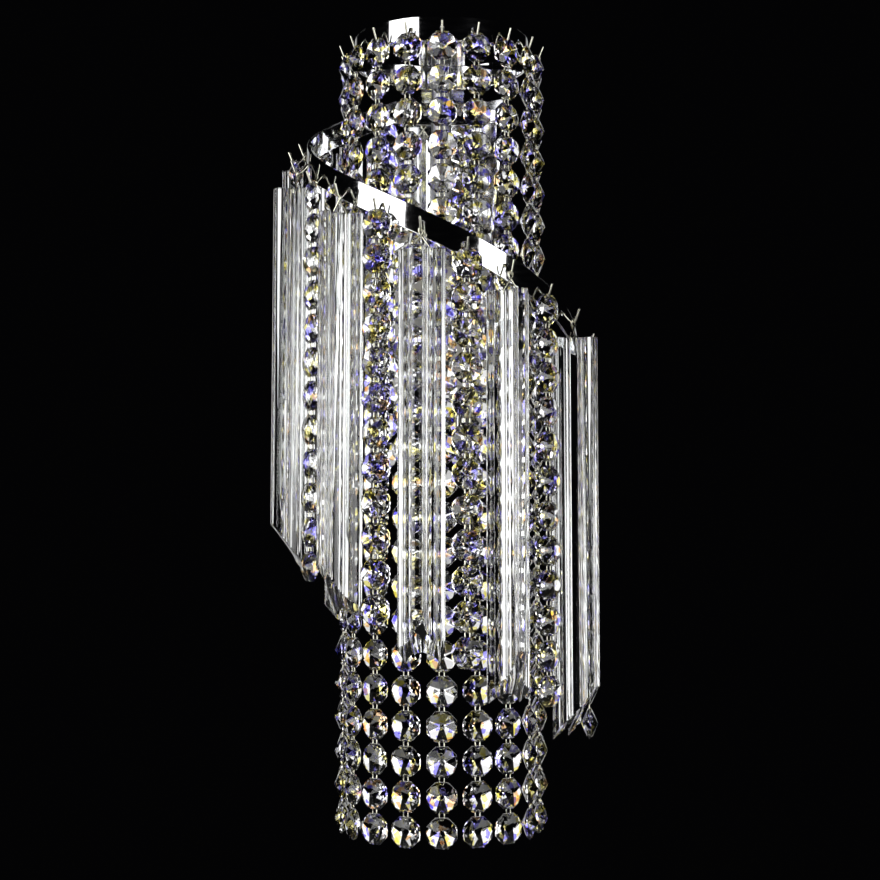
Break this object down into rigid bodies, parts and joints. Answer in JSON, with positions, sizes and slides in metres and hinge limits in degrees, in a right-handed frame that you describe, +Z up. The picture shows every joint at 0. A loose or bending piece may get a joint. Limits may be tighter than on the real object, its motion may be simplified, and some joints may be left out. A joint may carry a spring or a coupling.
{
  "type": "crystal wall sconce",
  "caption": "Chrome wall light whose ring and spiral band carry hanging strings of octagon crystals and long three-lobed glass prisms round an inner lamp holder.",
  "frame": {"origin": "middle of the wall plate, on the wall plane", "axes": "+Z up, +Y into the wall, -Y into the room, +X to the right of someone facing the light"},
  "size_m": [0.1579, 0.1967, 0.4002],
  "materials": {
    "chrome": "mirror polished",
    "zinc_steel": "zinc plated",
    "wire": "bright nickel-plated wire",
    "crystal": "clear cut lead crystal",
    "prism_glass": "clear pressed glass with fine upright lines",
    "terminal_plastic": "plain moulded",
    "ceramic": "glazed ceramic",
    "lamp_glass": "clear capsule glass"
  },
  "bodies": {
    "fixture": {"wall_plate": "chrome", "mounting_bar": "zinc_steel", "plate_studs": "zinc_steel", "cap_nuts": "chrome", "terminal_block": "terminal_plastic", "top_ring": "chrome", "spiral_band": "chrome", "band_arms": "chrome", "lamp_bridge": "chrome", "lamp_stem": "zinc_steel", "lamp_stem_nut": "zinc_steel", "lamp_bracket": "zinc_steel", "lamp_holders": "ceramic"},
    "ring_string_01_body": {"ring_string_01": "crystal"},
    "ring_string_02_body": {"ring_string_02": "crystal"},
    "ring_string_03_body": {"ring_string_03": "crystal"},
    "ring_string_04_body": {"ring_string_04": "crystal"},
    "ring_string_05_body": {"ring_string_05": "crystal"},
    "ring_string_06_body": {"ring_string_06": "crystal"},
    "ring_string_07_body": {"ring_string_07": "crystal"},
    "ring_string_08_body": {"ring_string_08": "crystal"},
    "ring_string_09_body": {"ring_string_09": "crystal"},
    "ring_string_10_body": {"ring_string_10": "crystal"},
    "ring_string_11_body": {"ring_string_11": "crystal"},
    "band_string_1_body": {"band_string_1": "crystal"},
    "band_string_2_body": {"band_string_2": "crystal"},
    "band_string_3_body": {"band_string_3": "crystal"},
    "band_string_4_body": {"band_string_4": "crystal"},
    "band_string_5_body": {"band_string_5": "crystal"},
    "band_string_6_body": {"band_string_6": "crystal"},
    "band_string_7_body": {"band_string_7": "crystal"},
    "band_string_8_body": {"band_string_8": "crystal"},
    "band_string_9_body": {"band_string_9": "crystal"},
    "prism_1_body": {"prism_1": "prism_glass", "prism_bail_1": "wire"},
    "prism_2_body": {"prism_2": "prism_glass", "prism_bail_2": "wire"},
    "prism_3_body": {"prism_3": "prism_glass", "prism_bail_3": "wire"},
    "prism_4_body": {"prism_4": "prism_glass", "prism_bail_4": "wire"},
    "prism_5_body": {"prism_5": "prism_glass", "prism_bail_5": "wire"},
    "prism_6_body": {"prism_6": "prism_glass", "prism_bail_6": "wire"},
    "prism_7_body": {"prism_7": "prism_glass", "prism_bail_7": "wire"},
    "prism_8_body": {"prism_8": "prism_glass", "prism_bail_8": "wire"},
    "lamp_upper_body": {"lamp_upper": "lamp_glass"},
    "lamp_lower_body": {"lamp_lower": "lamp_glass"}
  },
  "joints": [
    {"name": "ring_string_01_swing", "type": "hinge", "parent": "fixture", "child": "ring_string_01_body", "pos_m": [-0.04768, -0.10428, 0.0746], "axis": [0.1599, 0.9871, 0], "range_deg": [-1, 1]},
    {"name": "ring_string_02_swing", "type": "hinge", "parent": "fixture", "child": "ring_string_02_body", "pos_m": [-0.04744, -0.12105, 0.0746], "axis": [-0.1874, 0.9823, 0], "range_deg": [-1, 1]},
    {"name": "ring_string_03_swing", "type": "hinge", "parent": "fixture", "child": "ring_string_03_body", "pos_m": [-0.04149, -0.13673, 0.0746], "axis": [-0.512, 0.859, 0], "range_deg": [-1, 1]},
    {"name": "ring_string_04_swing", "type": "hinge", "parent": "fixture", "child": "ring_string_04_body", "pos_m": [-0.03053, -0.14943, 0.0746], "axis": [-0.7749, 0.632, 0], "range_deg": [-1, 1]},
    {"name": "ring_string_05_swing", "type": "hinge", "parent": "fixture", "child": "ring_string_05_body", "pos_m": [-0.01588, -0.15761, 0.0746], "axis": [-0.9444, 0.3289, 0], "range_deg": [-1, 1]},
    {"name": "ring_string_06_swing", "type": "hinge", "parent": "fixture", "child": "ring_string_06_body", "pos_m": [0.00067, -0.16029, 0.0746], "axis": [-0.9999, -0.014, 0], "range_deg": [-1, 1]},
    {"name": "ring_string_07_swing", "type": "hinge", "parent": "fixture", "child": "ring_string_07_body", "pos_m": [0.01715, -0.15715, 0.0746], "axis": [-0.9348, -0.3551, 0], "range_deg": [-1, 1]},
    {"name": "ring_string_08_swing", "type": "hinge", "parent": "fixture", "child": "ring_string_08_body", "pos_m": [0.03156, -0.14856, 0.0746], "axis": [-0.757, -0.6534, 0], "range_deg": [-1, 1]},
    {"name": "ring_string_09_swing", "type": "hinge", "parent": "fixture", "child": "ring_string_09_body", "pos_m": [0.04216, -0.13556, 0.0746], "axis": [-0.4879, -0.8729, 0], "range_deg": [-1, 1]},
    {"name": "ring_string_10_swing", "type": "hinge", "parent": "fixture", "child": "ring_string_10_body", "pos_m": [0.04768, -0.11972, 0.0746], "axis": [-0.1599, -0.9871, 0], "range_deg": [-1, 1]},
    {"name": "ring_string_11_swing", "type": "hinge", "parent": "fixture", "child": "ring_string_11_body", "pos_m": [0.04744, -0.10295, 0.0746], "axis": [0.1874, -0.9823, 0], "range_deg": [-1, 1]},
    {"name": "band_string_1_swing", "type": "hinge", "parent": "fixture", "child": "band_string_1_body", "pos_m": [0.01074, -0.03929, 0.0611], "axis": [0.9893, -0.1461, 0], "range_deg": [-1.5, 4]},
    {"name": "band_string_2_swing", "type": "hinge", "parent": "fixture", "child": "band_string_2_body", "pos_m": [-0.0306, -0.04517, 0.06019], "axis": [0.9092, 0.4163, 0], "range_deg": [-1.5, 6]},
    {"name": "band_string_3_swing", "type": "hinge", "parent": "fixture", "child": "band_string_3_body", "pos_m": [-0.06206, -0.07262, 0.04138], "axis": [0.5358, 0.8443, 0], "range_deg": [-1.5, 8]},
    {"name": "band_string_4_swing", "type": "hinge", "parent": "fixture", "child": "band_string_4_body", "pos_m": [-0.0735, -0.11277, 0.02257], "axis": [-0.0105, 0.9999, 0], "range_deg": [-1.5, 8]},
    {"name": "band_string_5_swing", "type": "hinge", "parent": "fixture", "child": "band_string_5_body", "pos_m": [-0.06122, -0.15267, 0.00376], "axis": [-0.5534, 0.8329, 0], "range_deg": [-1.5, 8]},
    {"name": "band_string_6_swing", "type": "hinge", "parent": "fixture", "child": "band_string_6_body", "pos_m": [-0.02919, -0.17946, -0.01505], "axis": [-0.9178, 0.3971, 0], "range_deg": [-1.5, 8]},
    {"name": "band_string_7_swing", "type": "hinge", "parent": "fixture", "child": "band_string_7_body", "pos_m": [0.01226, -0.18447, -0.03386], "axis": [-0.986, -0.1668, 0], "range_deg": [-1.5, 8]},
    {"name": "band_string_8_swing", "type": "hinge", "parent": "fixture", "child": "band_string_8_body", "pos_m": [0.04975, -0.1661, -0.05266], "axis": [-0.7361, -0.6769, 0], "range_deg": [-1.5, 8]},
    {"name": "band_string_9_swing", "type": "hinge", "parent": "fixture", "child": "band_string_9_body", "pos_m": [0.07119, -0.13028, -0.07147], "axis": [-0.2487, -0.9686, 0], "range_deg": [-1.5, 8]},
    {"name": "prism_1_swing", "type": "hinge", "parent": "fixture", "child": "prism_1_body", "pos_m": [-0.01036, -0.03923, 0.0579], "axis": [0.99, 0.1409, 0], "range_deg": [-1, 2]},
    {"name": "prism_2_swing", "type": "hinge", "parent": "fixture", "child": "prism_2_body", "pos_m": [-0.04832, -0.05661, 0.04758], "axis": [0.7536, 0.6574, 0], "range_deg": [-1, 5]},
    {"name": "prism_3_swing", "type": "hinge", "parent": "fixture", "child": "prism_3_body", "pos_m": [-0.07069, -0.09186, 0.02877], "axis": [0.274, 0.9617, 0], "range_deg": [-1, 8]},
    {"name": "prism_4_swing", "type": "hinge", "parent": "fixture", "child": "prism_4_body", "pos_m": [-0.07025, -0.13361, 0.00997], "axis": [-0.294, 0.9558, 0], "range_deg": [-1, 8]},
    {"name": "prism_5_swing", "type": "hinge", "parent": "fixture", "child": "prism_5_body", "pos_m": [-0.04715, -0.16839, -0.00884], "axis": [-0.7672, 0.6414, 0], "range_deg": [-1, 8]},
    {"name": "prism_6_swing", "type": "hinge", "parent": "fixture", "child": "prism_6_body", "pos_m": [-0.00883, -0.18497, -0.02765], "axis": [-0.9928, 0.1201, 0], "range_deg": [-1, 8]},
    {"name": "prism_7_swing", "type": "hinge", "parent": "fixture", "child": "prism_7_body", "pos_m": [0.03234, -0.178, -0.04646], "axis": [-0.898, -0.4399, 0], "range_deg": [-1, 8]},
    {"name": "prism_8_swing", "type": "hinge", "parent": "fixture", "child": "prism_8_body", "pos_m": [0.06307, -0.14974, -0.06527], "axis": [-0.5135, -0.8581, 0], "range_deg": [-1, 8]},
    {"name": "lamp_upper_pull", "type": "slide", "parent": "fixture", "child": "lamp_upper_body", "axis": [0, 0, 1], "range_m": [0, 0.02]},
    {"name": "lamp_lower_pull", "type": "slide", "parent": "fixture", "child": "lamp_lower_body", "axis": [0, 0, -1], "range_m": [0, 0.02]}
  ]
}
